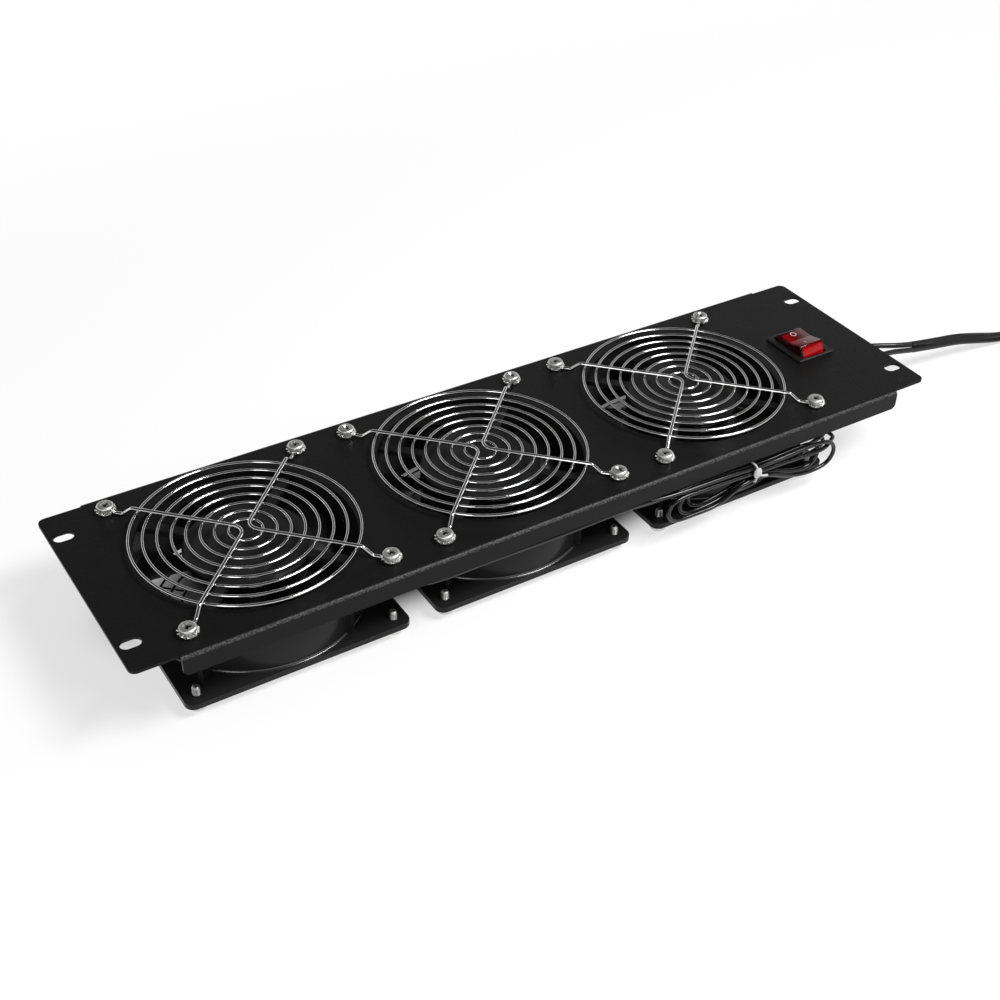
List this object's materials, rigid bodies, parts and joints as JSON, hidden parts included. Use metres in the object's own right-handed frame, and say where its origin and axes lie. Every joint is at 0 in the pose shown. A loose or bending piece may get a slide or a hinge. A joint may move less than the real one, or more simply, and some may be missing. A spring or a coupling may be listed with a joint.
{
  "type": "rack mount fan panel",
  "caption": "Folded steel rack panel with axial fans hung behind it, wire finger guards on both sides, a lit rocker switch and a mains cord.",
  "frame": {"origin": "under the middle of the panel, on the plane of the rear screw heads that it rests on", "axes": "+X along the panel towards the switch, +Y across it, +Z out of its face"},
  "size_m": [0.7055, 0.1678, 0.0533],
  "materials": {
    "panel_paint": "fine textured satin powder coat",
    "fan_casting": "satin black paint on cast aluminium",
    "bright_wire": "bright plated steel wire",
    "plated_screw": "bright plated steel",
    "impeller_plastic": "satin moulded plastic",
    "switch_plastic": "smooth moulded plastic",
    "rocker_red": "clear red moulded plastic",
    "lamp_glass": "small glass bulb",
    "lamination_steel": "stacked steel sheets",
    "bearing_steel": "ground steel",
    "winding_wire": "enamelled copper wire",
    "terminal_brass": "stamped brass",
    "boot_plastic": "soft insulating sleeve",
    "cord_jacket": "satin flexible plastic",
    "tie_white": "paper covered wire"
  },
  "bodies": {
    "panel_assembly": {"panel": "panel_paint", "front_finger_guards": "bright_wire", "rear_finger_guards": "bright_wire", "front_tooth_washers": "plated_screw", "front_screws": "plated_screw", "rear_tooth_washers": "plated_screw", "rear_screws": "plated_screw", "switch_body": "switch_plastic", "switch_lamp": "lamp_glass", "switch_terminals": "terminal_brass", "push_on_connectors": "boot_plastic", "lead_splice": "boot_plastic", "twist_tie": "tie_white", "coil_tie": "tie_white", "cord_coil": "cord_jacket", "plug_body": "cord_jacket", "plug_blades": "terminal_brass", "power_cord": "cord_jacket", "cord_tail": "cord_jacket", "cord_conductors": "cord_jacket", "switch_leads": "cord_jacket", "fan_housing_left": "fan_casting", "stator_core_left": "lamination_steel", "stator_windings_left": "winding_wire", "bearings_left": "bearing_steel", "fan_lead_left": "cord_jacket", "fan_housing_middle": "fan_casting", "stator_core_middle": "lamination_steel", "stator_windings_middle": "winding_wire", "bearings_middle": "bearing_steel", "fan_lead_middle": "cord_jacket", "fan_housing_right": "fan_casting", "stator_core_right": "lamination_steel", "stator_windings_right": "winding_wire", "bearings_right": "bearing_steel", "fan_lead_right": "cord_jacket"},
    "impeller_left": {"impeller_left": "impeller_plastic", "rotor_ring_left": "bearing_steel", "rotor_shaft_left": "bearing_steel"},
    "impeller_middle": {"impeller_middle": "impeller_plastic", "rotor_ring_middle": "bearing_steel", "rotor_shaft_middle": "bearing_steel"},
    "impeller_right": {"impeller_right": "impeller_plastic", "rotor_ring_right": "bearing_steel", "rotor_shaft_right": "bearing_steel"},
    "rocker": {"switch_rocker": "rocker_red"}
  },
  "joints": [
    {"name": "fan_left_spin", "type": "hinge", "parent": "panel_assembly", "child": "impeller_left", "pos_m": [-0.1555, 0, 0.02], "axis": [0, 0, 1], "continuous": true},
    {"name": "fan_middle_spin", "type": "hinge", "parent": "panel_assembly", "child": "impeller_middle", "pos_m": [-0.0208, 0, 0.02], "axis": [0, 0, 1], "continuous": true},
    {"name": "fan_right_spin", "type": "hinge", "parent": "panel_assembly", "child": "impeller_right", "pos_m": [0.1139, 0, 0.02], "axis": [0, 0, 1], "continuous": true},
    {"name": "rocker_tilt", "type": "hinge", "parent": "panel_assembly", "child": "rocker", "pos_m": [0.2002, 0, 0.0436], "axis": [1, 0, 0], "range_deg": [0, 24.4]}
  ]
}
